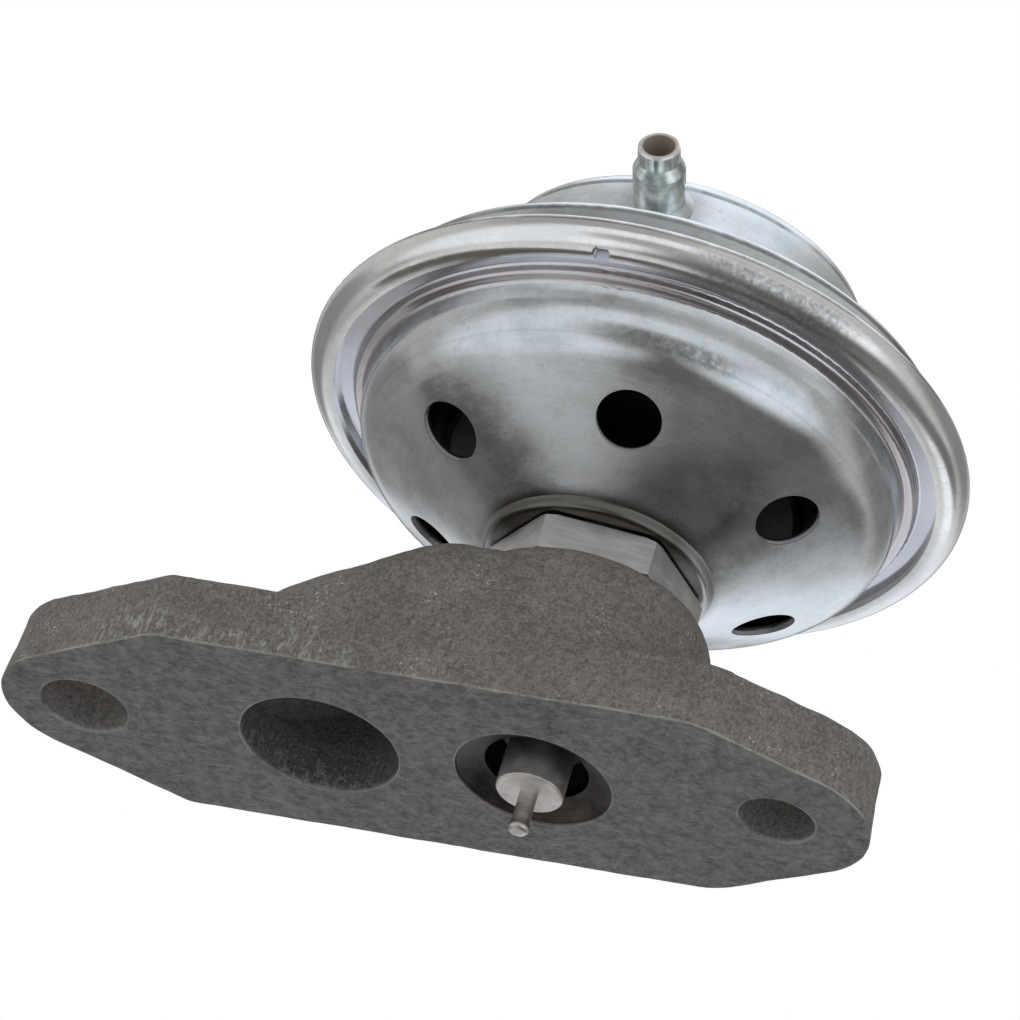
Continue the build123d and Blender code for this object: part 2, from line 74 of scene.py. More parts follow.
# The studio: a grey room with a dark floor, soft light panels all round the valve and a low
# band of light in front of it, cool where it is bright. The camera itself sees plain white.
class Value:
    """A socket in a node tree. Sums on it add Math nodes, and add() adds any other node."""

    def __init__(self, tree, socket=None):
        self.tree = tree
        self.socket = socket

    def add(self, kind, inputs=None, output=0, **settings):
        node = self.tree.nodes.new("ShaderNode" + kind)
        for name, setting in settings.items():
            setattr(node, name, setting)
        for name, given in (inputs or {}).items():
            if isinstance(given, Value):
                self.tree.links.new(given.socket, node.inputs[name])
            else:
                node.inputs[name].default_value = given
        return Value(self.tree, node.outputs[output] if node.outputs else None)

    def maths(self, operation, first, second):
        return self.add("Math", {0: first, 1: second}, operation=operation)

    def __add__(self, other):
        return self.maths("ADD", self, other)

    def __radd__(self, other):
        return self.maths("ADD", other, self)

    def __sub__(self, other):
        return self.maths("SUBTRACT", self, other)

    def __rsub__(self, other):
        return self.maths("SUBTRACT", other, self)

    def __mul__(self, other):
        return self.maths("MULTIPLY", self, other)

    def __rmul__(self, other):
        return self.maths("MULTIPLY", other, self)

    def vector(self, operation, other=(0, 0, 0), output=0):
        """Vector Math on this socket; output 1 is a number, such as a length."""
        return self.add("VectorMath", {0: self, 1: other}, output=output, operation=operation)

    def part(self, axis):
        """One part of a vector: 0, 1 and 2 are x, y and z."""
        return self.add("SeparateXYZ", {0: self}, output=axis)

    def step(self, low, high, start=0.0, end=1.0):
        """A soft step: start on low's side, end on high's side."""
        return self.add(
            "MapRange",
            {"Value": self, "From Min": low, "From Max": high, "To Min": start, "To Max": end},
            interpolation_type="SMOOTHSTEP",
        )

    def blend(self, first, second):
        """The colour first where this value is 0, second where it is 1."""
        first, second = (c if isinstance(c, Value) else (*c, 1) for c in (first, second))
        return self.add("Mix", {0: self, 6: first, 7: second}, output=2, data_type="RGBA")


world = bpy.data.worlds.new("studio")
scene.world = world
world.use_nodes = True
world.node_tree.nodes.clear()
room = Value(world.node_tree)
ray = room.add("TexCoord")


def towards(direction, edge, full):
    """1 for rays near a direction, 0 away from it; edge and full are cosines."""
    return ray.vector("DOT_PRODUCT", Vector(direction).normalized(), output=1).step(edge, full)


room_level = 0.5
dark_floor_level = 0.16
band_level = 0.82
plain_white, cool_white = (1, 1, 1), (0.92, 0.985, 1.06)
# Each panel: the way to it, the cosines of its edge and of its full light, and its level.
panels = (
    ((-0.571, -0.607, -0.553), 0.687, 0.9, 0.86),
    ((0.77, -0.54, -0.38), 0.765, 0.96, 1.1),
    ((0.01, 0.0, 1.0), 0.77, 0.9, 1.15),
    ((-0.165, 0.98, -0.09), 0.8, 0.96, 1.12),
    ((-0.827, 0.554, -0.098), 0.855, 0.945, 0.26),
    ((0.740, 0.589, 0.324), 0.79, 0.97, 0.22),
    ((-0.28, -0.77, 0.57), 0.78, 0.93, 0.34),
    ((-0.005, -0.902, -0.431), 0.9, 1.0, 0.36),
    ((-0.377, 0.272, -0.885), 0.802, 0.99, 0.66),
    ((0.18, 0.83, -0.53), 0.955, 0.995, 0.95),
    ((0.567, 0.676, -0.469), 0.95, 0.996, 0.15),
    ((-0.226, 0.81, 0.54), 0.9, 0.98, 0.2),
)

height = ray.part(2)
dark_floor = height.step(-0.35, -0.7)
level = room_level + dark_floor * (dark_floor_level - room_level)
for direction, edge, full, panel_level in panels:
    level = level + towards(direction, edge, full) * (panel_level - level)
band = height.step(-0.33, -0.14) * height.step(0.27, 0.15)
band = band * towards((0.34, -0.94, 0), 0.45, 0.7)
level = level + band * (band_level - level)
seen = room.add("LightPath")
coolness = level.step(0.45, 1.0) * (1 - seen)
tint = coolness.blend(plain_white, cool_white)
level = seen + (1 - seen) * level
background = room.add("Background", {"Color": tint, "Strength": level})
room.add("OutputWorld", {"Surface": background})

floor_drop = 1.0
floor_size = 30.0
floor_colour = (0.86, 0.86, 0.86, 1)
floor_roughness = 0.9
bpy.ops.object.select_all(action="DESELECT")
bpy.ops.mesh.primitive_plane_add(size=floor_size, location=(0, 0, -floor_drop))
floor = bpy.context.object
floor.name = "floor"
floor_paper = bpy.data.materials.new("floor_paper")
floor_paper.use_nodes = True
paper = floor_paper.node_tree.nodes["Principled BSDF"].inputs
paper["Base Color"].default_value = floor_colour
paper["Roughness"].default_value = floor_roughness
floor.data.materials.append(floor_paper)
floor.visible_glossy = False
floor.visible_diffuse = False


# Cast iron base: the flange, the hump over the gas passage and the round boss in one sand
# casting, brown-grey with bright specks and a pale frost low on its side. Only the mounting face
# and the holes are machined: darker, scratched all ways, their edges worn, with a painted
# highlight.
def finish_of(name, **constants):
    """A new material, the place its patterns are read at, and its shader."""
    material = bpy.data.materials.new(name)
    material.use_nodes = True
    shader = material.node_tree.nodes["Principled BSDF"]
    for socket, amount in constants.items():
        shader.inputs[socket.replace("_", " ")].default_value = amount
    place = Value(material.node_tree).add("TexCoord", output=3)
    return material, place, shader


def noise(place, scale, detail, roughness=0.5, output=0):
    """Cloudy noise read at a place; output 1 is three noises at once."""
    settings = {"Vector": place, "Scale": scale, "Detail": detail, "Roughness": roughness}
    return place.add("TexNoise", settings, output=output)


def level_from(place, axis_x):
    """How far and which way a place lies from an upright axis, on the level."""
    return place.vector("ADD", (-axis_x, 0, 0)).vector("MULTIPLY", (1, 1, 0))


def feed(value, shader, socket):
    """Leads a value into a socket of the shader."""
    value.tree.links.new(value.socket, shader.inputs[socket])


def raise_by(relief, shader, strength, depth):
    """Bumps the surface; depth is the height that a relief of 1 stands for."""
    settings = {"Height": relief, "Strength": strength, "Distance": depth}
    feed(relief.add("Bump", settings), shader, "Normal")


MM = 0.001
casting_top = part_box("base_casting")[1].z
seat_low, seat_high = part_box("seat_ring")
stem_x = (seat_low.x + seat_high.x) / 2
inlet_x = -stem_x
bolt_x = 40.5 * MM
# Each hole: its axis, its radius and how much light it keeps inside.
holes = (
    (inlet_x, 9.3 * MM, 0.56),
    (stem_x, 9.07 * MM, 0.5),
    (-bolt_x, 5.2 * MM, 0.93),
    (bolt_x, 4.4 * MM, 0.83),
)
skin_dark, skin_light = (0.155, 0.142, 0.132), (0.325, 0.303, 0.284)
face_dark, face_light = (0.1, 0.094, 0.089), (0.325, 0.311, 0.297)
painted_glint_colour = (0.5, 0.48, 0.46)
speck_colour = (0.85, 0.83, 0.8)
frost_colour = (0.55, 0.535, 0.515)
scratch_colour = (0.5, 0.49, 0.475)
worn_highlight_colour = (0.55, 0.54, 0.52)
drip_grain = (1.8 / MM, 1.8 / MM, 0.7 / MM)
scratch_grain = (0.16 / MM, 3.4 / MM, 0)
scratch_bend = (9 * MM, 9 * MM, 0)
frost_top, frost_full = 7.0 * MM, 2.0 * MM
frost_end, frost_start = 2.0 * MM, -44.0 * MM

iron, place, shader = finish_of("cast_iron", IOR=1.45)
along, rise = place.part(0), place.part(2)
machined = rise.step(0.2 * MM, 0.04 * MM)

# The open skin: mottled, with dull painted glints, clusters of bright specks and streaks of frost.
grain = noise(place, 3.0 / MM, 2.0)
pits = noise(place, 1.2 / MM, 3.0)
clouds = noise(place, 0.12 / MM, 4.0, 0.6)
glint_cells = {"Vector": place, "Scale": 1.9 / MM}
dots = place.add("TexVoronoi", glint_cells).step(0.4, 0.12)
chosen = place.add("TexVoronoi", glint_cells, output=1).part(0)
speck_field = noise(place, 0.2 / MM, 4.0)
flecks = noise(place, 2.6 / MM, 3.0, 0.6)
specks = flecks.step(0.6, 0.67) * speck_field.step(0.53, 0.65)
glints = dots * chosen.step(0.4, 1.0) * speck_field.step(0.35, 0.6)
skin_tone = (grain * 0.5 + pits * 0.3 + clouds * 0.2).step(0.35, 0.65)
skin = skin_tone.blend(skin_dark, skin_light)
skin = (glints * 0.5).blend(skin, painted_glint_colour)
skin = (specks * 0.85).blend(skin, speck_colour)
drips = noise(place.vector("MULTIPLY", drip_grain), 1.0, 4.0, 0.75).step(0.48, 0.58)
frost = drips * rise.step(frost_top, frost_full) * clouds.step(0.32, 0.54)
frost = frost * (along.step(frost_end, frost_end - 14 * MM) * 0.75 + 0.25)
frost = frost * along.step(frost_start, frost_start + 10 * MM)
skin = (frost * 0.8).blend(skin, frost_colour)

# The machined face: a cloudy grey under long scratches that run five ways and bend a little.
swirl = noise(place, 0.04 / MM, 1.0, output=1)
bent = place.vector("ADD", swirl.vector("MULTIPLY", scratch_bend))
scratches = 0.0
# Each run of scratches: its turn, a shift of its pattern and how rare they are.
scratch_runs = ((8, 0, 0.63), (24, 3, 0.65), (-19, 7, 0.65), (71, 11, 0.67), (113, 5, 0.68))
for turn, shift, rarity in scratch_runs:
    placed = {"Vector": bent, "Location": (shift, shift, 0), "Rotation": (0, 0, radians(turn))}
    lines = place.add("Mapping", placed).vector("MULTIPLY", scratch_grain)
    scratches = scratches + noise(lines, 1.0, 2.0).step(rarity, rarity + 0.06)
face_clouds = noise(bent, 0.5 / MM, 6.0, 0.72)
face_tone = (face_clouds * 0.46 + pits * 0.26 + grain * 0.14 + clouds * 0.14).step(0.385, 0.615)
face = face_tone.blend(face_dark, face_light)
face = (scratches * 0.42).blend(face, scratch_colour)

# The holes are shaded inside, but the gas ports only as far as the passage's sloping roof.
roof_slope = radians(31.7)
roof_foot = Vector((-21.9 * MM, 0, 9.4 * MM))
roof_level = roof_foot.z * cos(roof_slope) - roof_foot.x * sin(roof_slope)
above_roof = rise * cos(roof_slope) - along * sin(roof_slope) - roof_level
under_roof = above_roof.step(-1.8 * MM, -3.0 * MM)
hole_light = 1.0
rim_light = 0.0
for hole_x, radius, kept_light in holes:
    out = level_from(place, hole_x).vector("LENGTH", output=1)
    within = out.step(radius + 0.06 * MM, radius + 0.02 * MM)
    within = within * rise.step(0.1 * MM, 1.2 * MM, 0.55, 1)
    if abs(hole_x) < bolt_x:
        within = within * under_roof
    hole_light = hole_light * (1 - within * (1 - kept_light))
    rim_light = rim_light + out.step(radius + 0.3 * MM, radius + 0.1 * MM) * machined
# Just above the face's edge: partly wear, partly a painted highlight where a rounded edge would
# catch light.
edge_wear_and_highlight = rise.step(0.5 * MM, 0.25 * MM) * rise.step(0.02 * MM, 0.12 * MM) * hole_light
worn_and_highlit = (rim_light * 0.7 + edge_wear_and_highlight * 0.9) * clouds.step(0.3, 0.7)
colour = worn_and_highlit.blend(machined.blend(skin, face), worn_highlight_colour)
warm_light = {0: hole_light, 1: hole_light * 0.97, 2: hole_light * 0.93}
warm_light = place.add("CombineColor", warm_light)
lit = {0: 1.0, 6: colour, 7: warm_light}
colour = place.add("Mix", lit, output=2, data_type="RGBA", blend_type="MULTIPLY")
feed(colour, shader, "Base Color")
rough_skin = 0.85 - specks * 0.45
rough_face = 0.5 + face_tone * 0.12
feed(rough_skin + machined * (rough_face - rough_skin), shader, "Roughness")
feed((machined * 0.35 + specks * 0.5) * hole_light, shader, "Metallic")
coarse_relief = grain * 0.45 + pits * 0.6 + dots * 0.3 + frost * 0.3
fine_relief = scratches * -0.05 + grain * 0.12 + face_clouds * 0.35
relief = coarse_relief + machined * (fine_relief - coarse_relief)
raise_by(relief, shader, 1.0, 0.25 * MM)


# The casting's skin: sand leaves it not quite flat, which also breaks the line of the flange's
# edges. The machined face, the holes and the seat of the hexagon stay true.
def own_copy(name, material, ending):
    """A copy of a CAD node that stands for it, with its own mesh and one material."""
    piece = nodes[name].copy()
    piece.data = nodes[name].data.copy()
    piece.name = name + ending
    piece.parent = None
    scene.collection.objects.link(piece)
    piece.data.materials.clear()
    piece.data.materials.append(material)
    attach(piece, "housing")
    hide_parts(name)
    return piece


weld_gap = 0.002 * MM
straight_down = -0.999
face_level = 0.001 * MM
longest_edge = 1.1 * MM
longest_face_edge = 6 * longest_edge
halvings = 7
true_seat_depth = 0.3 * MM
true_hole_margin = 0.5 * MM
skin_fade = 1.5 * MM
above_ports = 9 * MM
smooth_below = radians(38)

sand_skin = own_copy("base_casting", iron, "_skin")
bpy.ops.object.select_all(action="DESELECT")
sand_skin.select_set(True)
bpy.context.view_layer.objects.active = sand_skin
mesh = sand_skin.data
bpy.ops.object.mode_set(mode="EDIT")
bpy.ops.mesh.customdata_custom_splitnormals_clear()
bpy.ops.mesh.select_all(action="SELECT")
bpy.ops.mesh.remove_doubles(threshold=weld_gap)
bpy.ops.mesh.quads_convert_to_tris()
for _ in range(halvings):
    bpy.ops.mesh.select_mode(type="EDGE")
    bpy.ops.mesh.select_all(action="DESELECT")
    bpy.ops.object.mode_set(mode="OBJECT")
    on_face = Counter(
        key for face in mesh.polygons
        if face.normal.z < straight_down and face.center.z < face_level
        for key in face.edge_keys
    )
    for edge in mesh.edges:
        first, second = (mesh.vertices[corner].co for corner in edge.vertices)
        limit = longest_face_edge if on_face[edge.key] == 2 else longest_edge
        edge.select = (first - second).length > limit
    bpy.ops.object.mode_set(mode="EDIT")
    bpy.ops.mesh.subdivide(number_cuts=1)
    bpy.ops.mesh.select_all(action="SELECT")
    bpy.ops.mesh.quads_convert_to_tris()
bpy.ops.object.mode_set(mode="OBJECT")


def rough_share(point):
    """How far the sand skin may move at a point: 0 at machined places, 1 on the open skin."""
    share = min(max((casting_top - true_seat_depth - point.z) / skin_fade, 0), 1)
    for hole_x, radius, _ in holes:
        if abs(hole_x) < bolt_x and point.z > above_ports:
            continue
        gap = Vector((point.x - hole_x, point.y)).length - radius - true_hole_margin
        share = min(share, max(gap / skin_fade, 0))
    return share


moving = sand_skin.vertex_groups.new(name="skin")
face_points = []
for vertex in mesh.vertices:
    moving.add([vertex.index], rough_share(vertex.co), "REPLACE")
    if vertex.co.z < face_level:
        face_points.append(vertex.index)
sand_forms = (("sand_lumps", 6.0 * MM, 0.5 * MM), ("sand_grains", 2.2 * MM, 0.22 * MM))
for name, size, depth in sand_forms:
    sand = bpy.data.textures.new(name, "CLOUDS")
    sand.noise_scale = size
    sand.noise_depth = 2
    ripple = sand_skin.modifiers.new(name, "DISPLACE")
    ripple.texture = sand
    ripple.texture_coords = "LOCAL"
    ripple.strength = depth
    ripple.vertex_group = "skin"
    bpy.ops.object.modifier_apply(modifier=name)
for index in face_points:
    mesh.vertices[index].co.z = 0
bpy.ops.object.shade_smooth_by_angle(angle=smooth_below)
sand_skin.vertex_groups.clear()


# Seat ring: turned steel, pressed into the outlet port and darkened by heat. The pintle
# closes its upper edge.
def turned_steel(name, dark, light, roughness, ring_spacing):
    """Steel with fine rings from the lathe round the stem axis and cloudy heat colour."""
    material, place, shader = finish_of(name, Metallic=1.0)
    radius = level_from(place, stem_x).vector("LENGTH", output=1)
    rings = place.add("CombineXYZ", {0: radius, 1: place.part(2)})
    tool_marks = noise(rings, 1 / ring_spacing, 4.0)
    clouds = noise(place, 0.5 / MM, 4.0)
    tone = (tool_marks * 0.5 + clouds * 0.5).step(0.35, 0.65)
    feed(tone.blend(dark, light), shader, "Base Color")
    feed(roughness + clouds * 0.15, shader, "Roughness")
    raise_by(tool_marks, shader, 0.35, 0.02 * MM)
    return material


def dress(material, *names):
    """Puts one material on CAD nodes."""
    for name in names:
        nodes[name].data.materials.clear()
        nodes[name].data.materials.append(material)


burnt_dark, burnt_light = (0.035, 0.03, 0.027), (0.1, 0.088, 0.08)
heated_steel = turned_steel("heated_steel", burnt_dark, burnt_light, 0.4, 0.12 * MM)
dress(heated_steel, "seat_ring")


# Hexagon adapter: bright bare steel from drawn bar, screwed into the boss, its neck staked
# over inside the can. It holds the lower shell down on a thin fibre gasket, coloured nearly
# black as painted shade for the shadowed gap between hexagon and shell.
bar_dark, bar_light = (0.62, 0.585, 0.56), (0.8, 0.765, 0.735)
drawn_grain = (0.25 / MM, 0.25 / MM, 2.2 / MM)
bar_steel, place, shader = finish_of("bar_steel", Metallic=0.8)
draw_lines = noise(place.vector("MULTIPLY", drawn_grain), 1.0, 4.0)
stains = noise(place, 0.35 / MM, 5.0)
tone = (draw_lines * 0.6 + stains * 0.4).step(0.35, 0.65)
feed(tone.blend(bar_dark, bar_light), shader, "Base Color")
feed(0.36 + stains * 0.2, shader, "Roughness")
raise_by(draw_lines, shader, 0.2, 0.02 * MM)
dress(bar_steel, "hex_adapter")

# Nearly black: painted shade for the gap between hexagon and shell.
gasket_shade_dark, gasket_shade_light = (0.012, 0.012, 0.012), (0.04, 0.038, 0.036)
gasket_fibre, place, shader = finish_of("gasket_fibre", Roughness=0.9)
feed(noise(place, 2.0 / MM, 4.0).blend(gasket_shade_dark, gasket_shade_light), shader, "Base Color")
dress(gasket_fibre, "shell_gasket")


# Stem guide: a sintered bushing in the adapter, a ring of graphite packing above it and a
# steel cap that keeps the packing down. The washers on the stem are of the cap's steel.
bronze_dark, bronze_light = (0.2, 0.14, 0.07), (0.45, 0.33, 0.2)
sintered, place, shader = finish_of("sintered_bronze", Metallic=1.0)
pores = noise(place, 3.0 / MM, 3.0)
feed(pores.blend(bronze_dark, bronze_light), shader, "Base Color")
feed(0.45 + pores * 0.2, shader, "Roughness")
dress(sintered, "stem_bushing")

graphite_dark, graphite_light = (0.01, 0.01, 0.01), (0.045, 0.045, 0.05)
packing, place, shader = finish_of("graphite_packing", Roughness=0.7)
feed(noise(place, 1.5 / MM, 3.0).blend(graphite_dark, graphite_light), shader, "Base Color")
dress(packing, "stem_seal")

washer_dark, washer_light = (0.2, 0.19, 0.18), (0.4, 0.38, 0.36)
washer_steel = turned_steel("washer_steel", washer_dark, washer_light, 0.3, 0.2 * MM)
dress(washer_steel, "seal_retainer", "collar_washer", "rivet_washer")


# The can: two zinc plated pressings, the upper one rolled round the lower one's flange. The
# plating is soft and cloudy, bluish on the flange strip, pink on the bead and cream on the
# lip, with dull spots and darker patches, painted shade in its bends, hollows and back, and
# painted highlights on the lip and the vents' cut edges.
tint_edge = 0.25 * MM
tint_share = 0.8
spot_colour = (0.36, 0.35, 0.32)
plating_strength, plating_depth = 0.6, 0.25 * MM


def zinc_plate(name, dull, clear, tints):
    """Zinc plate on pressed steel; tints are (inner radius, outer radius, low, high, colour)."""
    material, place, shader = finish_of(name, Metallic=1.0)
    rise = place.part(2)
    level = level_from(place, stem_x)
    radius = level.vector("LENGTH", output=1)
    bearing = level.vector("NORMALIZE")
    across = place.add("CombineXYZ", {2: (radius + rise * 0.7) * (1.6 / MM)})
    ring_space = bearing.vector("MULTIPLY", (7, 7, 0)).vector("ADD", across)
    draw_rings = noise(ring_space, 1.0, 5.0, 0.7)
    fine = noise(place, 2.2 / MM, 4.0, 0.65)
    patches = noise(place, 0.14 / MM, 6.0, 0.62)
    spots = noise(place, 0.4 / MM, 7.0, 0.72).step(0.56, 0.72)
    tone = (fine * 0.16 + patches * 0.64 + draw_rings * 0.2).step(0.34, 0.66)
    colour = (spots * 0.35).blend(tone.blend(dull, clear), spot_colour)
    for inner, outer, low, high, tint in tints:
        ring = radius.step(inner - tint_edge, inner + tint_edge)
        ring = ring * radius.step(outer + tint_edge, outer - tint_edge)
        ring = ring * rise.step(low - tint_edge, low + tint_edge)
        ring = ring * rise.step(high + tint_edge, high - tint_edge)
        colour = (ring * tint_share).blend(colour, tint)
    roughness = 0.1 + patches.step(0.35, 0.65) * 0.09 + draw_rings.step(0.3, 0.7) * 0.04
    relief = fine * 0.02 + patches * 0.16 + draw_rings * 0.04
    raise_by(relief, shader, plating_strength, plating_depth)
    return material, place, shader, colour, roughness, (radius, rise, bearing, fine)


def true_the_rings(piece):
    """Shades a pressing as round as it is: off the walls of its holes, each normal is laid
    in the plane through the stem axis and evened out along its ring."""
    mesh = piece.data
    steepest = 0.85
    one_surface = 0.9
    rings = {}
    corners = []
    for loop, corner in zip(mesh.loops, mesh.corner_normals):
        point = mesh.vertices[loop.vertex_index].co
        outward = Vector((point.x - stem_x, point.y, 0))
        spread = outward.length
        outward.normalize()
        normal = Vector(corner.vector)
        flat = Vector((normal.dot(outward), normal.z))
        if flat.length < steepest:
            corners.append((normal, None))
            continue
        flat.normalize()
        lines = rings.setdefault((round(spread / MM, 2), round(point.z / MM, 2)), [])
        for line in lines:
            if line[0].normalized().dot(flat) > one_surface:
                break
        else:
            line = [Vector((0, 0))]
            lines.append(line)
        line[0] += flat
        corners.append((outward, line))
    trued = []
    for direction, line in corners:
        if line:
            flat = line[0].normalized()
            direction = direction * flat.x + Vector((0, 0, flat.y))
        trued.append(direction)
    mesh.normals_split_custom_set(trued)


shell_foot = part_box("lower_shell")[0].z
rim_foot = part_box("upper_shell")[0].z
lip_thickness = 1.0 * MM
flange_underside = rim_foot + lip_thickness
bead_inner, strip_inner, strip_outer = 31.9 * MM, 33.6 * MM, 38.0 * MM
cone_start_radius, cone_start_height = 13.7 * MM, shell_foot + 1.3 * MM
cone_rise, cone_run = 10.37, 17.9
cone_slope = cone_rise / cone_run
wall_inside = 30.7 * MM
vents_inner, vents_outer = 15.0 * MM, 27.8 * MM
hub_outer, hub_inner = 15.4 * MM, 13.4 * MM
bend_band_height = flange_underside - 6.4 * MM
strip_tint, bead_tint = (0.78, 0.785, 0.87), (0.64, 0.575, 0.58)
inside_shade_colour = (0.12, 0.115, 0.11)
hub_shade_colour = (0.14, 0.13, 0.115)
bend_band_colour = (0.13, 0.124, 0.108)
strip_back_shade_colour = (0.4, 0.4, 0.42)
cut_highlight_colour = (0.95, 0.95, 0.97)

strip_low, strip_high = flange_underside - 0.3 * MM, flange_underside + 1.5 * MM
bead_low, bead_high = flange_underside - 1.6 * MM, flange_underside + 0.2 * MM
lower_tints = (
    (strip_inner, strip_outer, strip_low, strip_high, strip_tint),
    (bead_inner, strip_inner, bead_low, bead_high, bead_tint),
)
lower_dull, lower_clear = (0.56, 0.575, 0.57), (0.8, 0.825, 0.845)
lower_zinc, place, shader, colour, roughness, fields = zinc_plate(
    "lower_zinc", lower_dull, lower_clear, lower_tints
)
radius, rise, bearing, fine = fields
east, north = bearing.part(0), bearing.part(1)

# The inside is rougher and painted dark as shade, the cut edges of the vents are bare and carry
# a painted highlight, the hub gets painted shade at its front and foot, a darker mottled band
# follows the bend of the cone, and the back of the strip gets painted shade.
above_cone = rise - cone_start_height - (radius - cone_start_radius) * cone_slope
shaded_inside = above_cone.step(0.7 * MM, 1.0 * MM) * radius.step(wall_inside, wall_inside - 0.3 * MM)
shaded_inside = shaded_inside * rise.step(shell_foot + 0.3 * MM, shell_foot + 0.6 * MM)
# The vents' cut edges: bare steel, painted near white as a highlight.
cut_edge_highlight = above_cone.step(0.04 * MM, 0.1 * MM) * above_cone.step(0.75 * MM, 0.6 * MM)
cut_edge_highlight = cut_edge_highlight * radius.step(vents_inner, vents_inner + 0.5 * MM)
cut_edge_highlight = cut_edge_highlight * radius.step(vents_outer, vents_outer - 0.5 * MM)
# Painted shade on the hub's front and low on the hub by the hexagon.
hub_shade = radius.step(hub_outer, hub_inner) * north.step(-0.3, -0.75) * 0.75
hub_shade = hub_shade + rise.step(shell_foot + 2.0 * MM, shell_foot + 1.2 * MM) * 0.35
# A darker, mottled band along the bend of the cone, a little rougher too.
bend_band = rise.step(bend_band_height - 1.7 * MM, bend_band_height - 0.7 * MM)
bend_band = bend_band * rise.step(bend_band_height + 1.0 * MM, bend_band_height + 0.2 * MM)
bend_band = bend_band * east.step(-0.08, 0.15) * east.step(0.62, 0.4) * north.step(0.0, -0.3)
band_mottle = noise(place, 1.1 / MM, 5.0) * 0.6 + fine * 0.4
bend_band = bend_band * (0.5 + band_mottle.step(0.36, 0.62) * 0.5)
# Painted shade on the back of the strip.
strip_back_shade = radius.step(strip_inner - 0.4 * MM, strip_inner + 0.4 * MM) * north.step(0.0, 0.35)
colour = shaded_inside.blend(colour, inside_shade_colour)
colour = hub_shade.blend(colour, hub_shade_colour)
colour = (bend_band * 0.75).blend(colour, bend_band_colour)
colour = (strip_back_shade * 0.4).blend(colour, strip_back_shade_colour)
colour = (cut_edge_highlight * 0.9).blend(colour, cut_highlight_colour)
satin = radius.step(30 * MM, 26.5 * MM) * 0.1
feed(colour, shader, "Base Color")
feed(0.93 - cut_edge_highlight * 0.68, shader, "Metallic")
feed(roughness + satin + shaded_inside * 0.3 + bend_band * 0.2, shader, "Roughness")
true_the_rings(own_copy("lower_shell", lower_zinc, "_pressing"))

# Each painted shade line in a bend: its height over the can's rim, its half width and its inner
# radius.
shaded_bends = (
    (3.15 * MM, 0.35 * MM, 37.4 * MM),
    (8.2 * MM, 0.5 * MM, 33.4 * MM),
    (22.0 * MM, 0.4 * MM, 17.0 * MM),
)
rim_inner, rim_outer = 35.5 * MM, 39.0 * MM
rim_sheen_tint = (0.99, 0.975, 0.93)
lip_sheen_light, lip_sheen_dark = (0.99, 0.98, 0.95), (0.88, 0.868, 0.84)
seam_shade_colour = (0.1, 0.092, 0.085)
rim_side_shade_colour = (0.42, 0.42, 0.43)
lip_patch_colour = (0.17, 0.16, 0.145)

upper_tints = ((rim_inner, rim_outer, rim_foot - 0.5 * MM, rim_foot + 0.6 * MM, rim_sheen_tint),)
upper_dull, upper_clear = (0.62, 0.64, 0.645), (0.83, 0.86, 0.88)
upper_zinc, place, shader, colour, roughness, fields = zinc_plate(
    "upper_zinc", upper_dull, upper_clear, upper_tints
)
radius, rise, bearing, fine = fields
east, north = bearing.part(0), bearing.part(1)

# The lip is cream, painted brighter as a highlight, with painted shade at its left and back and a
# darker patch at its front right; painted shade lies in the bends in broken lines.
rim = radius.step(rim_inner - 0.1 * MM, rim_inner + 0.4 * MM)
# Cream plating, painted brighter than the rest of the sheet as a highlight.
lip_cream_sheen = (fine * 0.5 + roughness * 2.5).step(0.45, 0.75).blend(lip_sheen_light, lip_sheen_dark)
blotches = noise(place, 1.5 / MM, 5.0, 0.7)
breaks = noise(place, 0.1 / MM, 3.0)
bend_shade_lines = 0.0
for over_rim, width, inner in shaded_bends:
    middle = rim_foot + over_rim
    bend_shade_line = rise.step(middle - width, middle - width / 2)
    bend_shade_line = bend_shade_line * rise.step(middle + width, middle + width / 2)
    bend_shade_lines = bend_shade_lines + bend_shade_line * radius.step(inner - 0.2 * MM, inner)
bend_shade_lines = bend_shade_lines * (0.35 + blotches * 0.5) * breaks.step(0.36, 0.56, 0.25, 1.3)
# Painted shade on the lip's left and back.
rim_side_shade = rim * (east.step(-0.78, -0.95) * 0.3 + north.step(0.15, 0.5) * 0.5)
lip = radius.step(rim_inner - 1.0 * MM, rim_inner - 0.2 * MM)
lip = lip * rise.step(rim_foot + 2.6 * MM, rim_foot + 1.6 * MM)
# A darker, rougher patch on the lip's front right.
lip_dark_patch = lip * east.step(0.2, 0.34) * east.step(0.8, 0.62) * north.step(0.0, -0.3)
lip_dark_patch = lip_dark_patch * (0.5 + (blotches * 0.55 + fine * 0.45).step(0.36, 0.62) * 0.5)
colour = rim.blend(colour, lip_cream_sheen)
colour = (bend_shade_lines * 0.85).blend(colour, seam_shade_colour)
colour = rim_side_shade.blend(colour, rim_side_shade_colour)
colour = (lip_dark_patch * 0.7).blend(colour, lip_patch_colour)
feed(colour, shader, "Base Color")
feed(roughness + lip_dark_patch * 0.25, shader, "Roughness")
true_the_rings(own_copy("upper_shell", upper_zinc, "_pressing"))


# Plates: two dished steel plates that hold the diaphragm between them, and the cup that
# centres the spring under the can's top. They are oiled, and their steel is painted near
# black as shade for the dark inside the can.
oiled_shade_dark, oiled_shade_light = (0.03, 0.03, 0.03), (0.09, 0.088, 0.085)
plate_steel, place, shader = finish_of("plate_steel", Metallic=0.7, Roughness=0.55)
feed(noise(place, 0.4 / MM, 4.0).blend(oiled_shade_dark, oiled_shade_light), shader, "Base Color")
dress(plate_steel, "lower_plate", "upper_plate", "spring_seat")


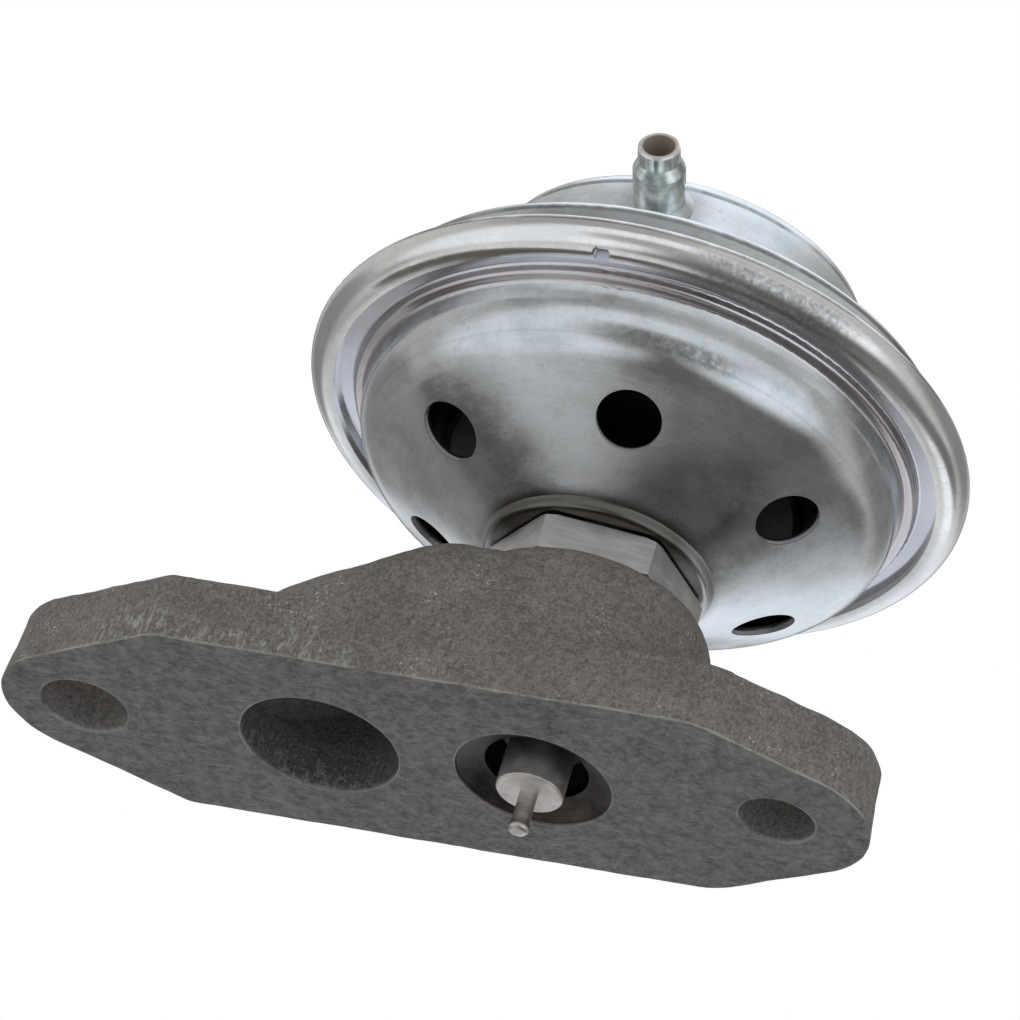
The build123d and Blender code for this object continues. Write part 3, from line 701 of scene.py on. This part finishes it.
# Nipple: turned steel under a thin greenish plating, brazed into the cup's wall. The hose
# has worn the plating off its end, and its bore is dull and beige.
nipple_root = Vector((13.148, -23.210, 64.6)) * MM
nipple_way = Vector((0.0273115, -0.9777662, 0.2079117))
bore_radius = 2.0 * MM
bared_from = 8.5 * MM
plating_dark, plating_light = (0.56, 0.62, 0.585), (0.82, 0.88, 0.86)
bared_colour = (0.97, 0.95, 0.9)
bore_colour = (0.56, 0.47, 0.39)
nipple_plating, place, shader = finish_of("nipple_plating")
out = place.vector("SUBTRACT", nipple_root)
outwards = out.vector("DOT_PRODUCT", nipple_way, output=1)
radius = out.vector("CROSS_PRODUCT", nipple_way).vector("LENGTH", output=1)
bore = radius.step(bore_radius + 0.05 * MM, bore_radius - 0.05 * MM)
bared = outwards.step(bared_from - 0.2 * MM, bared_from + 0.2 * MM)
tool_marks = noise(place.add("CombineXYZ", {0: outwards, 1: radius}), 3.0 / MM, 3.0)
haze = noise(place, 0.7 / MM, 4.0)
tone = (tool_marks * 0.2 + haze * 0.8).step(0.35, 0.65)
plating = (bared * 0.85).blend(tone.blend(plating_dark, plating_light), bared_colour)
feed(bore.blend(plating, bore_colour), shader, "Base Color")
feed(0.95 - bore * 0.8 - bared * (1 - bore) * 0.4, shader, "Metallic")
feed(0.12 + haze * 0.1 + bore * 0.3, shader, "Roughness")
raise_by(tool_marks, shader, 0.12, 0.03 * MM)
dress(nipple_plating, "vacuum_nipple")


# Braze: a thin fillet of filler that has run round the nipple's root, plated over with the
# can, so it is bright and a little lumpy.
braze_dark, braze_light = (0.5, 0.51, 0.5), (0.74, 0.76, 0.76)
braze_metal, place, shader = finish_of("braze_metal", Metallic=1.0)
runs = noise(place, 0.8 / MM, 3.0)
feed(runs.blend(braze_dark, braze_light), shader, "Base Color")
feed(0.25 + runs * 0.2, shader, "Roughness")
raise_by(runs, shader, 0.5, 0.1 * MM)
dress(braze_metal, "nipple_braze")


# Valve: the turned steel stem, and the pintle fixed to its lower end, which hangs in the
# outlet port with its thin pin. The pintle's end is ground pale, the rest is as turned.
turned_dark, turned_light = (0.4, 0.36, 0.33), (0.8, 0.75, 0.71)
ground_dark, ground_light = (0.6, 0.55, 0.51), (0.92, 0.87, 0.83)
dress(turned_steel("pintle_steel", turned_dark, turned_light, 0.35, 0.1 * MM), "pintle_pin", "stem")
dress(turned_steel("ground_steel", ground_dark, ground_light, 0.5, 0.1 * MM), "pintle")


# Diaphragm: moulded rubber on fabric, its bead clamped in the can's crimp and its middle
# held by the plates.
rubber_dark, rubber_light = (0.008, 0.008, 0.008), (0.03, 0.03, 0.03)
rubber, place, shader = finish_of("diaphragm_rubber", Roughness=0.6)
weave = noise(place, 1.0 / MM, 3.0)
feed(weave.blend(rubber_dark, rubber_light), shader, "Base Color")
raise_by(weave, shader, 0.3, 0.05 * MM)


def flexing_copy(name, material):
    """A copy of a soft CAD node with its own mesh and one material."""
    piece = own_copy(name, material, "_soft")
    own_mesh(piece)


flexing_copy("diaphragm", rubber)


# Return spring: coiled from oiled steel wire. It stands on the upper plate and pushes
# against the cup under the can's top.
wire_dark, wire_light = (0.12, 0.11, 0.1), (0.25, 0.24, 0.23)
wire, place, shader = finish_of("spring_wire", Metallic=1.0)
oil = noise(place, 0.8 / MM, 3.0)
feed(oil.blend(wire_dark, wire_light), shader, "Base Color")
feed(0.3 + oil * 0.15, shader, "Roughness")
flexing_copy("return_spring", wire)

scene.view_settings.view_transform = "Standard"
